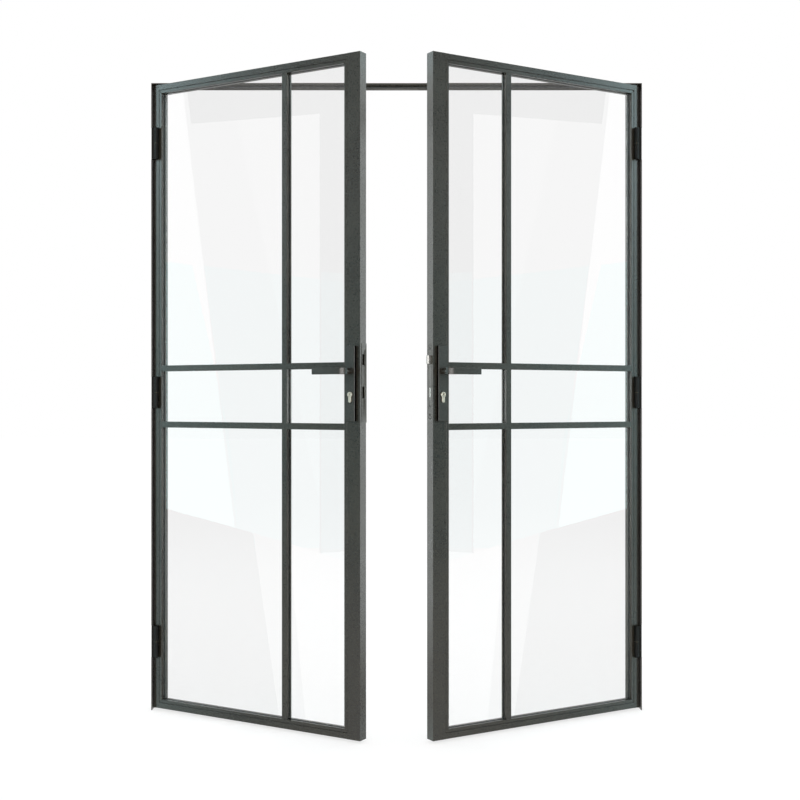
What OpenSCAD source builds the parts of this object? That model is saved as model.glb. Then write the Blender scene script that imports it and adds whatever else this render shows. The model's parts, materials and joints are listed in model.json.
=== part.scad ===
// A pair of glazed steel french doors in their outer frame, modelled ajar.
// +X is to the right, +Y into the building and +Z up, in millimetres. The origin is on the
// floor, midway between the jambs, in the plane of the frame's front edge.

/* [Door set] */
// Overall width of the outer frame
frame_w = 1667; // [1200:1:2400]
// Overall height of the outer frame
frame_h = 2130; // [1900:1:2600]
// Angle that each leaf stands open as modelled
open_angle = 30.7; // [0:0.1:90]

/* [Outer frame] */
// Thickness of the outer flange that forms the rebate
flange_t = 3; // [2:0.5:5]
// How far the stop behind the leaves stands in from the flange
stop_up = 12; // [10:0.5:20]
// Thickness of that stop
stop_t = 3.5; // [2:0.5:30]
// Wall of every hollow section
wall = 2; // [1.5:0.5:3]
// Width of the rubber seal in the rebate corner
seal_w = 5.5; // [4:0.5:7]
// Thickness of the rubber seal
seal_t = 2.6; // [1.5:0.1:3]
// Radius of the wall fixing holes
fixing_r = 2.75; // [2:0.25:3.5]
// Distance between the wall fixings up a jamb
jamb_fixing_pitch = 650; // [400:10:700]
// Distance between the wall fixings along the head
head_fixing_pitch = 600; // [300:10:700]

/* [Gaps round the leaves] */
// Gap between a leaf's hinge edge and the flange
side_gap = 3; // [2:0.5:5]
// Gap between the two leaves when they are shut
meeting_gap = 3; // [2.5:0.5:5]
// Gap above a leaf
head_gap = 4; // [3:0.5:6]
// Gap under a leaf
floor_gap = 8; // [5:0.5:15]
// Gap between a shut leaf's back face and the stop
stop_gap = 3.5; // [3:0.5:6]

/* [Leaf] */
// Thickness of a leaf
leaf_t = 35; // [32:1:50]
// Face width of the hinge stile and the rails
rail_w = 18.5; // [15:0.5:40]
// Face width of the stile that carries the lock
lock_stile_w = 46.5; // [44:0.5:70]
// How far the glazing nib and its bead stand into the opening
nib_w = 11.5; // [9:0.5:15]
// Depth of the front glazing beads and front bars
bead_d = 10; // [7:0.5:12]
// Width and depth of the groove between a bead and its stile
bead_groove = 1.5; // [1:0.25:2.5]
// Thickness of the glass
glass_t = 6; // [4:0.5:8]
// Thickness of the glazing tape on each side of the glass
tape_t = 2; // [1:0.5:3]
// Gap between the glass edge and the stiles and rails
glass_edge_gap = 4.5; // [3:0.5:6]

/* [Glazing bars] */
// Width of the glazing bars
bar_w = 20; // [12:1:30]
// Depth of the bars behind the glass
back_bar_d = 8; // [5:0.5:15]
// Distance from the lock side of the glass to the middle of the upright bar
bar_from_lock = 227; // [120:1:300]
// Distance between the middles of the two level bars
bar_pitch = 190; // [120:1:400]

/* [Hinges] */
// Height of a hinge
hinge_h = 107; // [80:1:140]
// Radius of a hinge barrel
barrel_r = 6.5; // [6:0.25:10]
// Radius of a hinge pin
pin_r = 3.5; // [3:0.25:4.5]
// Distance from a leaf's hinge edge to the pin
pin_inset = 13.5; // [12:0.5:20]
// Clearance between a barrel and the leaf's face
barrel_clear = 0.5; // [0.3:0.1:1]
// Height of the lowest hinge above the foot of the leaf
low_hinge_z = 226; // [150:1:350]
// Distance from the top of the leaf down to the highest hinge
top_hinge_drop = 199; // [150:1:350]
// Thickness of a hinge plate
hinge_plate_t = 3; // [2:0.5:4]
// How far a hinge plate runs back along the flange
hinge_leg = 20; // [12:1:30]
// How far a hinge plate sits in from the flange's outer face
hinge_inset = 1.5; // [0.5:0.25:2]
// Radial clearance of a turning knuckle or spindle neck
running_fit = 0.05; // [0.02:0.01:0.1]
// Thickness of a hinge washer
washer_t = 1; // [0.5:0.25:2]

/* [Lever handles] */
// Height of the lever spindle above the foot of the leaf
spindle_z = 1134; // [950:1:1250]
// Distance from the leaf's free edge to the spindle
backset = 30; // [26:0.5:40]
// Width of a cover plate
plate_w = 32.5; // [28:0.5:36]
// Thickness of a cover plate
plate_t = 10; // [7:0.5:12]
// Height of a cover plate above the spindle
plate_up = 78; // [60:1:100]
// Height of a cover plate below the spindle
plate_down = 154; // [130:1:180]
// Height of a lever's flat bar
lever_h = 20; // [16:0.5:24]
// Thickness of a lever's flat bar
lever_t = 12; // [8:0.5:14]
// Reach of a lever from its spindle
lever_reach = 109; // [90:1:130]
// Distance from the leaf's face to the front of a lever
lever_out = 60; // [50:1:75]
// Radius of a lever's neck
neck_r = 9; // [7:0.25:9.5]
// Side of the square spindle
spindle_side = 8; // [7:1:9]
// Distance from the leaf's back face to the end of the inner turn
turn_out = 25; // [20:1:35]
// Height of the inner turn's grip
turn_h = 28; // [22:1:36]
// Thickness of the inner turn's grip
turn_t = 6; // [4:0.5:8]

/* [Locks and bolts] */
// Distance from the spindle down to the cylinder
cylinder_drop = 72; // [70:1:92]
// Width of a lock case or gear case
case_t = 16; // [14:0.5:18]
// Width of the lock's face plate
face_plate_w = 22; // [18:0.5:24]
// Width of the groove round the face plate
face_plate_groove = 1; // [0.3:0.1:1.5]
// Thickness of the face plate
face_plate_t = 3; // [2.5:0.5:4]
// How far the latch stands out of the face plate
latch_out = 11; // [9:0.5:12]
// Thickness of the latch and the deadbolt
bolt_t = 8; // [6:0.5:10]
// Radius of the upright bolt rods
rod_r = 3.5; // [2.5:0.25:3.75]
// Thickness of the strike plate
strike_t = 1.2; // [0.8:0.1:1.5]

/* [Hidden] */
$fn = 64;

frame_colour = "#464845";
seal_colour = "#202120";
glass_colour = [0.85, 0.95, 0.94, 0.35];
nickel_colour = "#c0c1be";
steel_colour = "#8d908f";
brass_colour = "#b59a58";

eps = 0.01;
slip = 0.1;          // clearance of a piece laid into its seat
solid_gap = 0.2;     // gap that keeps two pieces of one group apart

// Outer frame
rebate_d = leaf_t + stop_gap;
stop_w = flange_t + stop_up;
frame_d = rebate_d + stop_t;
jamb_x = frame_w / 2;
fixing_depth = 19;
fixing_low_z = 90;
fixing_head_r = 2 * fixing_r;
fixing_head_depth = 2;
head_seal_end = 20;  // head seals stop here, where the leaves' back corners swing past
bolt_hole_clear = 1;

// Leaf, in its own frame: X from the hinge edge, Y from the front face, Z from the foot
leaf_w = (frame_w - 2 * flange_t - 2 * side_gap - meeting_gap) / 2;
leaf_h = frame_h - flange_t - head_gap - floor_gap;
lock_x = leaf_w - lock_stile_w;
sight_low = rail_w + nib_w;
sight_x = lock_x - nib_w;
sight_z = leaf_h - sight_low;
glass_front = bead_d + tape_t;
glass_back = glass_front + glass_t;
nib_front = glass_back + tape_t;
vent_r = 2.5;
vent_end = 60;

// Bars
bar_x = sight_x - bar_from_lock;
bar_zs = [(leaf_h - bar_pitch) / 2, (leaf_h + bar_pitch) / 2];
tape_inset = 2;      // tape is this much narrower than a bar on each side

// Hinges
pin_out = barrel_r + barrel_clear;
axis_x = jamb_x - flange_t - side_gap - pin_inset;
hinge_zs = [low_hinge_z, (low_hinge_z + leaf_h - top_hinge_drop) / 2, leaf_h - top_hinge_drop];
hinge_half = (hinge_h - washer_t) / 2;
hinge_foot_w = 8;
flap_w = 11;
flap_front = hinge_plate_t + 1;
pin_end = 4;         // metal left past each end of a pin

// Handles and locks
spindle_x = leaf_w - backset;
cylinder_z = spindle_z - cylinder_drop;
cylinder_r = 8.5;
cylinder_foot_r = 5;
cylinder_foot_z = 19.5;
cylinder_proud = 3;
cylinder_front = -plate_t - cylinder_proud;
cylinder_back = leaf_t + plate_t + cylinder_proud;
plug_r = 6;
keyway_w = 2.2;
keyway_h = 8;
keyway_d = 12;
cam_r = 11.5;
cam_t = 4.6;
cam_slot_t = 10;
mid_depth = leaf_t / 2;
plate_wall = 2;
post_r = 3.5;
post_hole_r = 2;
post_zs = [spindle_z + plate_up - 12, spindle_z - plate_down + 12];
case_low = spindle_z - 122;
case_high = spindle_z + 52;
case_wall = 1.5;
lock_case_x = spindle_x - cam_r - case_wall - 0.5;
gear_case_x = [spindle_x - 10, spindle_x + 12];
latch_z = [spindle_z + 22, spindle_z + 49];
latch_tail = 15;
deadbolt_z = [spindle_z - 80, spindle_z - 50];
deadbolt_tail_h = 10;
deadbolt_head = 20;
face_plate_z = [spindle_z - 146, spindle_z + 81];
face_screw_zs = [spindle_z - 134, spindle_z + 70];
case_screw_z = spindle_z - 108;
face_screw_r = 2;
face_screw_head_r = 3.8;
lug_h = 18;
lug_depth = 8;
rod_x = spindle_x + 8.5;
rod_inset = 1;       // a drawn-back rod ends this far inside the leaf's edge
rod_in_case = 16;
strike_z = [spindle_z - 158, spindle_z + 86];
strike_front = 9;
strike_lip = 8;
lever_bend_r = lever_h;
turn_neck = 3;       // how far the turn's neck stands out of its cover plate
turn_tail = 2;       // gap between that neck and the leaf's face
bend_x = spindle_x + lever_h / 2 - lever_bend_r;
bend_y = lever_bend_r - lever_out;
screw_head_r = 4;
screw_head_d = 2.2;

// ---- Shared shapes -------------------------------------------------------------------

// A box between two corners
module block(low, high) {
    translate(low) cube(high - low);
}

// Extrudes a shape drawn in X and Z from one depth to another
module through(front, back) {
    translate([0, back, 0]) rotate([90, 0, 0]) linear_extrude(back - front) children();
}

// A round bar along X
module bar_along_x(x, depth, z, r, length) {
    translate([x, depth, z]) rotate([0, 90, 0]) cylinder(r = r, h = length);
}

// Moves a shape from a left leaf's own frame to where that leaf stands
module left_leaf() {
    translate([-axis_x, -pin_out, floor_gap]) rotate([0, 0, -open_angle])
        translate([-pin_inset, pin_out, 0]) children();
}

module right_leaf() {
    mirror([1, 0, 0]) left_leaf() children();
}

// ---- Outer frame ---------------------------------------------------------------------

// Section of a jamb or the head: X in from the outer face, Y in depth
module frame_section() {
    polygon([
        [0, 0], [flange_t, 0], [flange_t, rebate_d],
        [stop_w, rebate_d], [stop_w, frame_d], [0, frame_d]
    ]);
}

// A countersunk fixing hole through the flange, its head on the +Z side
module fixing_hole() {
    translate([0, 0, -eps]) cylinder(r = fixing_r, h = flange_t + 2 * eps);
    translate([0, 0, flange_t - fixing_head_depth])
        cylinder(r1 = fixing_r, r2 = fixing_head_r, h = fixing_head_depth + eps);
}

module jamb() {
    reach = 2 * frame_d;
    difference() {
        translate([-jamb_x, 0, 0]) linear_extrude(frame_h) frame_section();
        through(-1, frame_d + 1) polygon([
            [-jamb_x, frame_h], [-jamb_x + reach, frame_h - reach],
            [-jamb_x + reach, frame_h + 1], [-jamb_x, frame_h + 1]
        ]);
        for (z = hinge_zs)
            translate([-jamb_x - 1, -1, floor_gap + z - hinge_h / 2])
                cube([flange_t + 2, hinge_leg + 1, hinge_h]);
        for (i = [0:3])
            translate([-jamb_x, fixing_depth, fixing_low_z + i * jamb_fixing_pitch])
                rotate([0, 90, 0]) fixing_hole();
    }
}

module left_jamb() {
    color(frame_colour) jamb();
}

module right_jamb() {
    color(frame_colour) mirror([1, 0, 0]) jamb();
}

module head() {
    reach = 2 * frame_d;
    bolt_x = -axis_x - pin_inset + rod_x;
    color(frame_colour) difference() {
        translate([-jamb_x, 0, frame_h]) rotate([0, 90, 0])
            linear_extrude(frame_w) frame_section();
        for (side = [0, 1]) mirror([side, 0, 0])
            through(-1, frame_d + 1) polygon([
                [-jamb_x, frame_h], [-jamb_x + reach, frame_h - reach],
                [-jamb_x - 1, frame_h - reach], [-jamb_x - 1, frame_h]
            ]);
        for (i = [-1:1])
            translate([i * head_fixing_pitch, fixing_depth, frame_h])
                rotate([180, 0, 0]) fixing_hole();
        translate([bolt_x, mid_depth, frame_h - flange_t - 1])
            cylinder(r = rod_r + bolt_hole_clear, h = flange_t + 2);
    }
}

// Rubber strips in the rebate corners
module frame_seals() {
    color(seal_colour) {
        for (side = [0, 1]) mirror([side, 0, 0])
            block([-jamb_x + flange_t, rebate_d - seal_t, 0],
                [-jamb_x + flange_t + seal_w, rebate_d, frame_h - flange_t]);
        block([-axis_x + head_seal_end, rebate_d - seal_t, frame_h - flange_t - seal_w],
            [axis_x - head_seal_end, rebate_d, frame_h - flange_t]);
    }
}

// ---- Hinges --------------------------------------------------------------------------

// Lower half of a hinge, with its plate let into the flange
module jamb_hinge(z) {
    plate_x = -jamb_x + hinge_inset;
    color(frame_colour) translate([0, 0, floor_gap + z]) difference() {
        union() {
            block([plate_x, -flap_front, -hinge_h / 2],
                [plate_x + hinge_plate_t, hinge_leg, hinge_h / 2]);
            block([plate_x, -flap_front, -hinge_h / 2],
                [plate_x + flap_w, -flap_front + hinge_plate_t, hinge_h / 2]);
            block([plate_x, -flap_front, -hinge_h / 2],
                [-axis_x, -flap_front + hinge_plate_t, -hinge_h / 2 + hinge_half]);
            translate([-axis_x, -pin_out, -hinge_h / 2]) cylinder(r = barrel_r, h = hinge_half);
        }
        translate([-axis_x, -pin_out, -hinge_h / 2 + pin_end])
            cylinder(r = pin_r + running_fit / 2, h = hinge_h);
        translate([-axis_x, -pin_out, hinge_half - hinge_h / 2])
            cylinder(r = barrel_r + slip, h = hinge_h);
    }
}

// Upper half of a hinge, in the leaf's own frame, with the foot welded to the stile
module leaf_hinge(z) {
    color(frame_colour) translate([pin_inset, 0, z + hinge_h / 2 - hinge_half]) difference() {
        union() {
            translate([0, -pin_out, 0]) cylinder(r = barrel_r, h = hinge_half);
            block([-hinge_foot_w / 2, -pin_out, 0], [hinge_foot_w / 2, 0, hinge_half]);
        }
        translate([0, -pin_out, -1])
            cylinder(r = pin_r + running_fit, h = hinge_half - pin_end + 1);
    }
}

module hinge_pins() {
    length = hinge_h - 2 * pin_end - slip;
    color(steel_colour) for (side = [0, 1]) mirror([side, 0, 0])
        for (z = hinge_zs)
            translate([-axis_x, -pin_out, floor_gap + z - hinge_h / 2 + pin_end])
                cylinder(r = pin_r, h = length);
}

module hinge_washers() {
    color(brass_colour) for (side = [0, 1]) mirror([side, 0, 0])
        for (z = hinge_zs)
            translate([-axis_x, -pin_out, floor_gap + z - washer_t / 2]) difference() {
                cylinder(r = barrel_r, h = washer_t - slip);
                translate([0, 0, -1]) cylinder(r = pin_r + running_fit, h = washer_t + 2);
            }
}

// ---- Leaf, in its own frame ----------------------------------------------------------

module hinge_stile() {
    color(frame_colour) difference() {
        union() {
            block([0, 0, 0], [rail_w, leaf_t, leaf_h]);
            block([rail_w - eps, nib_front, rail_w], [sight_low, leaf_t, leaf_h - rail_w]);
        }
        block([wall, wall, wall], [rail_w - wall, leaf_t - wall, leaf_h - wall]);
        for (z = [vent_end, leaf_h - vent_end])
            bar_along_x(rail_w - wall - 1, mid_depth, z, vent_r, wall + 2);
    }
}

module top_rail() {
    color(frame_colour) difference() {
        union() {
            block([rail_w, 0, leaf_h - rail_w], [lock_x, leaf_t, leaf_h]);
            block([sight_low, nib_front, sight_z], [sight_x, leaf_t, leaf_h - rail_w + eps]);
        }
        block([rail_w - 1, wall, leaf_h - rail_w + wall], [lock_x + 1, leaf_t - wall, leaf_h - wall]);
    }
}

module bottom_rail() {
    color(frame_colour) difference() {
        union() {
            block([rail_w, 0, 0], [lock_x, leaf_t, rail_w]);
            block([sight_low, nib_front, rail_w - eps], [sight_x, leaf_t, sight_low]);
        }
        block([rail_w - 1, wall, wall], [lock_x + 1, leaf_t - wall, rail_w - wall]);
    }
}

// The lock stile as both leaves share it, with the holes for the handles and cylinder
module lock_stile_body() {
    block([lock_x, 0, 0], [leaf_w, leaf_t, leaf_h]);
    block([sight_x, nib_front, rail_w], [lock_x + eps, leaf_t, leaf_h - rail_w]);
}

module lock_stile_cuts() {
    block([lock_x + wall, wall, wall], [leaf_w - wall, leaf_t - wall, leaf_h - wall]);
    through(-1, leaf_t + 1) {
        translate([spindle_x, spindle_z]) circle(r = neck_r + 1);
        cylinder_outline(1);
        for (z = post_zs) translate([spindle_x, z]) circle(r = post_r + slip);
    }
}

// Lock stile of the leaf with the key lock: slot for the face plate, and its two lugs
module active_lock_stile() {
    color(frame_colour) difference() {
        union() {
            difference() {
                lock_stile_body();
                lock_stile_cuts();
            }
            for (z = face_screw_zs)
                block([leaf_w - face_plate_t - lug_depth, wall - eps, z - lug_h / 2],
                    [leaf_w - face_plate_t, leaf_t - wall + eps, z + lug_h / 2]);
        }
        translate([leaf_w - face_plate_t, 0, 0]) face_plate_shape(face_plate_groove, 5);
        for (z = face_screw_zs)
            bar_along_x(leaf_w - 2 * lug_depth, mid_depth, z, face_screw_r, 2 * lug_depth);
    }
}

// Lock stile of the bolted leaf: rod holes in its ends, mouths for the latch and deadbolt
module passive_lock_stile() {
    color(frame_colour) difference() {
        lock_stile_body();
        lock_stile_cuts();
        translate([rod_x, mid_depth, -1]) cylinder(r = rod_r + running_fit, h = wall + 2);
        translate([rod_x, mid_depth, leaf_h - wall - 1])
            cylinder(r = rod_r + running_fit, h = wall + 2);
        for (z = [latch_z, deadbolt_z])
            block([leaf_w - wall - 1, mid_depth - bolt_t / 2 - 2, z[0] - 3],
                [leaf_w + 1, mid_depth + bolt_t / 2 + 2, z[1] + 3]);
    }
}

module glass() {
    edge = rail_w + glass_edge_gap;
    color(glass_colour) block([edge, glass_front, edge],
        [lock_x - glass_edge_gap, glass_back, leaf_h - edge]);
}

// Corners of the rebate opening, drawn in by an inset, as [left, foot, right, top]
function opening(inset) = [rail_w + inset, rail_w + inset, lock_x - inset, leaf_h - rail_w - inset];

// One mitred bead out of four, between two insets
module bead_side(outer, inner, side) {
    o = opening(outer);
    i = opening(inner);
    outer_pts = [[o[0], o[1]], [o[2], o[1]], [o[2], o[3]], [o[0], o[3]]];
    inner_pts = [[i[0], i[1]], [i[2], i[1]], [i[2], i[3]], [i[0], i[3]]];
    next = (side + 1) % 4;
    polygon([outer_pts[side], outer_pts[next], inner_pts[next], inner_pts[side]]);
}

// A square-cut line along each mitre, which keeps the four beads apart
module mitre_lines() {
    o = opening(0);
    for (corner = [[o[0], o[1], 45], [o[2], o[1], 135], [o[2], o[3], 225], [o[0], o[3], 315]])
        translate([corner[0], corner[1]]) rotate(corner[2])
            translate([-5, -solid_gap / 2]) square([2 * nib_w + 5, solid_gap]);
}

module glazing_beads() {
    color(frame_colour) for (side = [0:3]) {
        difference() {
            union() {
                through(0, bead_d) bead_side(bead_groove, nib_w, side);
                through(bead_groove, bead_d) bead_side(0, nib_w, side);
            }
            through(-1, bead_d + 1) mitre_lines();
        }
    }
}

// Rectangle of the rebate opening, drawn in by an inset
module opening_square(inset) {
    o = opening(inset);
    translate([o[0], o[1]]) square([o[2] - o[0], o[3] - o[1]]);
}

// Both bar directions at a given width, within the sight line
module bar_grid(width) {
    translate([bar_x - width / 2, sight_low]) square([width, sight_z - sight_low]);
    for (z = bar_zs)
        translate([sight_low, z - width / 2]) square([sight_x - sight_low, width]);
}

// A spacer round the edge of the glass, and a tape on each side of it with a strip to each bar
module glazing_tape() {
    color(seal_colour) {
        through(glass_front, glass_back) difference() {
            opening_square(0);
            opening_square(glass_edge_gap);
        }
        for (front = [bead_d, glass_back]) through(front, front + tape_t) {
            difference() {
                opening_square(0);
                opening_square(nib_w - 0.5);
            }
            bar_grid(bar_w - 2 * tape_inset);
        }
    }
}

module front_bars() {
    color(frame_colour) through(0, bead_d) bar_grid(bar_w);
}

module back_bars() {
    color(frame_colour) through(nib_front, nib_front + back_bar_d) bar_grid(bar_w);
}

// ---- Handles, in the leaf's own frame ------------------------------------------------

// Outline of the key cylinder, grown by a clearance
module cylinder_outline(grow) {
    translate([spindle_x, cylinder_z]) circle(r = cylinder_r + grow);
    translate([spindle_x, cylinder_z - cylinder_foot_z]) circle(r = cylinder_foot_r + grow);
    translate([spindle_x - cylinder_foot_r - grow, cylinder_z - cylinder_foot_z])
        square([2 * (cylinder_foot_r + grow), cylinder_foot_z]);
}

// A hollow cover plate with its open side towards the leaf's front face
module cover_plate() {
    low = spindle_z - plate_down;
    high = spindle_z + plate_up;
    difference() {
        block([spindle_x - plate_w / 2, -plate_t, low], [spindle_x + plate_w / 2, 0, high]);
        difference() {
            block([spindle_x - plate_w / 2 + plate_wall, plate_wall - plate_t, low + plate_wall],
                [spindle_x + plate_w / 2 - plate_wall, 1, high - plate_wall]);
            through(-plate_t, 2) for (z = post_zs) translate([spindle_x, z]) circle(r = 2 * post_r);
        }
        through(-plate_t - 1, 1) {
            translate([spindle_x, spindle_z]) circle(r = neck_r + running_fit);
            cylinder_outline(slip);
        }
    }
}

// The outer plate carries two tapped posts that reach through the stile
module outer_plate() {
    color(frame_colour) difference() {
        union() {
            cover_plate();
            through(-plate_t / 2, leaf_t - 1)
                for (z = post_zs) translate([spindle_x, z]) circle(r = post_r);
        }
        through(mid_depth, leaf_t) for (z = post_zs) translate([spindle_x, z])
            circle(r = post_hole_r + slip);
    }
}

// Turns a shape made for the front face round to the back face
module on_back() {
    translate([0, leaf_t, 0]) mirror([0, 1, 0]) children();
}

module inner_plate() {
    color(frame_colour) difference() {
        on_back() cover_plate();
        for (z = post_zs) translate([spindle_x, leaf_t, z]) rotate([-90, 0, 0]) {
            translate([0, 0, -1]) cylinder(r = post_hole_r + slip, h = plate_t + 2);
            translate([0, 0, plate_t - screw_head_d]) cylinder(r = screw_head_r + slip, h = 5);
        }
    }
}

// Screws through the inner plate into the outer plate's posts
module handle_screws() {
    for (z = post_zs) translate([spindle_x, 0, z]) rotate([-90, 0, 0]) {
        translate([0, 0, mid_depth + 2])
            cylinder(r = post_hole_r, h = leaf_t + plate_t - mid_depth - 3);
        translate([0, 0, leaf_t + plate_t - screw_head_d + slip])
            cylinder(r = screw_head_r, h = screw_head_d - 2 * slip);
    }
}

// Plan of a lever's flat bar: a straight arm that ends in a quarter-round bend
module lever_plan() {
    translate([spindle_x - lever_reach, -lever_out]) square([bend_x - spindle_x + lever_reach, lever_t]);
    intersection() {
        translate([bend_x, bend_y]) circle(r = lever_bend_r);
        translate([bend_x, -lever_out]) square(lever_bend_r);
    }
}

// A flat bar that bends round into its neck, pointing at the hinge side
module lever() {
    color(frame_colour) difference() {
        union() {
            translate([0, 0, spindle_z - lever_h / 2]) linear_extrude(lever_h) lever_plan();
            through(bend_y - 1, plate_wall - plate_t)
                translate([spindle_x, spindle_z]) circle(r = neck_r);
        }
        through(bend_y + 2, 5) translate([spindle_x, spindle_z])
            square(spindle_side + 2 * slip, center = true);
    }
}

// A round neck with an upright grip, on the inner face
module inner_turn() {
    neck_end = -plate_t - turn_neck;
    color(frame_colour) on_back() difference() {
        union() {
            through(neck_end, -turn_tail)
                translate([spindle_x, spindle_z]) circle(r = neck_r);
            block([spindle_x - turn_t / 2, -turn_out, spindle_z - turn_h / 2],
                [spindle_x + turn_t / 2, neck_end + 1, spindle_z + turn_h / 2]);
        }
        through(neck_end + 1, 5) translate([spindle_x, spindle_z])
            square(spindle_side + 2 * slip, center = true);
    }
}

module spindle() {
    front = bend_y + 4;
    back = leaf_t + plate_t + turn_neck - 2;
    color(steel_colour) through(front, back)
        translate([spindle_x, spindle_z]) square(spindle_side, center = true);
}

// Key cylinder body: bored for its two plugs, slotted in the middle for the cam
module key_cylinder() {
    color(nickel_colour) difference() {
        through(cylinder_front, cylinder_back) cylinder_outline(0);
        through(cylinder_front - 1, cylinder_back + 1)
            translate([spindle_x, cylinder_z]) circle(r = plug_r + running_fit);
        block([spindle_x - 2 * cylinder_r, mid_depth - cam_slot_t / 2, cylinder_z - cam_r - 0.5],
            [spindle_x + 2 * cylinder_r, mid_depth + cam_slot_t / 2, cylinder_z + 2 * cylinder_r]);
    }
}

// The two plugs with their keyways, and the cam between them
module cylinder_plugs() {
    cam_front = mid_depth - cam_t / 2;
    cam_back = mid_depth + cam_t / 2;
    color(nickel_colour) {
        difference() {
            union() {
                through(cylinder_front, cam_front - solid_gap) plug_circle(plug_r);
                through(cam_back + solid_gap, cylinder_back) plug_circle(plug_r);
            }
            for (front = [cylinder_front - 1, cylinder_back - keyway_d])
                block([spindle_x - keyway_w / 2, front, cylinder_z - keyway_h / 2],
                    [spindle_x + keyway_w / 2, front + keyway_d + 1, cylinder_z + keyway_h / 2]);
        }
        through(cam_front, cam_back) {
            plug_circle(plug_r);
            translate([spindle_x - 3, cylinder_z - cam_r + 0.5]) square([6, cam_r - 0.5]);
        }
    }
}

module plug_circle(r) {
    translate([spindle_x, cylinder_z]) circle(r = r);
}

// ---- Lock of the right leaf, in the leaf's own frame ----------------------------------

// Holes that a lock case or gear case has for the spindle, the cylinder and its cam
module case_passages() {
    through(0, leaf_t) {
        translate([spindle_x, spindle_z]) circle(r = neck_r);
        cylinder_outline(0.5);
    }
    through(mid_depth - cam_slot_t / 2, mid_depth + cam_slot_t / 2)
        translate([spindle_x, cylinder_z]) circle(r = cam_r + 0.5);
}

module lock_case() {
    front = mid_depth - case_t / 2;
    back = mid_depth + case_t / 2;
    end = leaf_w - face_plate_t;
    color(steel_colour) difference() {
        block([lock_case_x, front, case_low], [end, back, case_high]);
        block([lock_case_x + case_wall, front + case_wall, case_low + 2 * lug_depth],
            [end - case_wall, back - case_wall, case_high - case_wall]);
        case_passages();
        for (z = [latch_z, deadbolt_z])
            block([end - case_wall - 1, mid_depth - bolt_t / 2 - slip, z[0] - slip],
                [end + 1, mid_depth + bolt_t / 2 + slip, z[1] + slip]);
        bar_along_x(end - lug_depth, mid_depth, case_screw_z, face_screw_r, 2 * lug_depth);
    }
}

// A round-ended plate on the free edge, from X = 0 outwards
module face_plate_shape(grow, thickness) {
    r = face_plate_w / 2 + grow;
    rotate([90, 0, 90]) linear_extrude(thickness) {
        translate([mid_depth, face_plate_z[0] + face_plate_w / 2]) circle(r = r);
        translate([mid_depth, face_plate_z[1] - face_plate_w / 2]) circle(r = r);
        translate([mid_depth - r, face_plate_z[0] + face_plate_w / 2])
            square([2 * r, face_plate_z[1] - face_plate_z[0] - face_plate_w]);
    }
}

module face_plate() {
    x = leaf_w - face_plate_t;
    color(steel_colour) difference() {
        translate([x, 0, 0]) face_plate_shape(0, face_plate_t);
        for (z = [latch_z, deadbolt_z])
            block([x - 1, mid_depth - bolt_t / 2 - slip, z[0] - slip],
                [leaf_w + 1, mid_depth + bolt_t / 2 + slip, z[1] + slip]);
        for (z = concat(face_screw_zs, [case_screw_z])) {
            bar_along_x(x - 1, mid_depth, z, face_screw_r + slip, face_plate_t + 2);
            translate([leaf_w - screw_head_d, mid_depth, z]) rotate([0, 90, 0])
                cylinder(r1 = face_screw_r + slip, r2 = face_screw_head_r + slip, h = screw_head_d + eps);
        }
    }
}

// Screws that hold the face plate to the stile's lugs and to the case
module face_plate_screws() {
    for (z = concat(face_screw_zs, [case_screw_z])) {
        bar_along_x(leaf_w - face_plate_t - lug_depth + 1, mid_depth, z, face_screw_r - slip / 2,
            face_plate_t + lug_depth - 1 - slip);
        translate([leaf_w - screw_head_d - slip, mid_depth, z]) rotate([0, 90, 0])
            cylinder(r1 = face_screw_r - slip / 2, r2 = face_screw_head_r - slip / 2, h = screw_head_d);
    }
}

// Spring latch with a slanted nose
module latch() {
    through_pts = [
        [leaf_w - face_plate_t - latch_tail, mid_depth - bolt_t / 2],
        [leaf_w + latch_out - bolt_t / 2, mid_depth - bolt_t / 2],
        [leaf_w + latch_out, mid_depth],
        [leaf_w + latch_out, mid_depth + bolt_t / 2],
        [leaf_w - face_plate_t - latch_tail, mid_depth + bolt_t / 2]
    ];
    color(steel_colour) translate([0, 0, latch_z[0]])
        linear_extrude(latch_z[1] - latch_z[0]) polygon(through_pts);
}

// Deadbolt head with a tail that runs back over the cylinder
module deadbolt() {
    front = mid_depth - bolt_t / 2;
    back = mid_depth + bolt_t / 2;
    color(nickel_colour) {
        block([leaf_w - deadbolt_head, front, deadbolt_z[0]], [leaf_w, back, deadbolt_z[1]]);
        block([lock_case_x + case_wall + 0.5, front, deadbolt_z[1] - deadbolt_tail_h],
            [leaf_w, back, deadbolt_z[1]]);
    }
}

// ---- Bolts of the left leaf, in the leaf's own frame ----------------------------------

module gear_case() {
    front = mid_depth - case_t / 2;
    back = mid_depth + case_t / 2;
    color(steel_colour) difference() {
        block([gear_case_x[0], front, case_low], [gear_case_x[1], back, case_high]);
        case_passages();
        for (z = [case_low, case_high])
            translate([rod_x, mid_depth, z - rod_in_case - 2])
                cylinder(r = rod_r + running_fit, h = 2 * rod_in_case + 4);
    }
}

module top_rod() {
    low = case_high - rod_in_case;
    color(steel_colour) translate([rod_x, mid_depth, low])
        cylinder(r = rod_r, h = leaf_h - rod_inset - low);
}

module bottom_rod() {
    color(steel_colour) translate([rod_x, mid_depth, rod_inset])
        cylinder(r = rod_r, h = case_low + rod_in_case - rod_inset);
}

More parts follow.
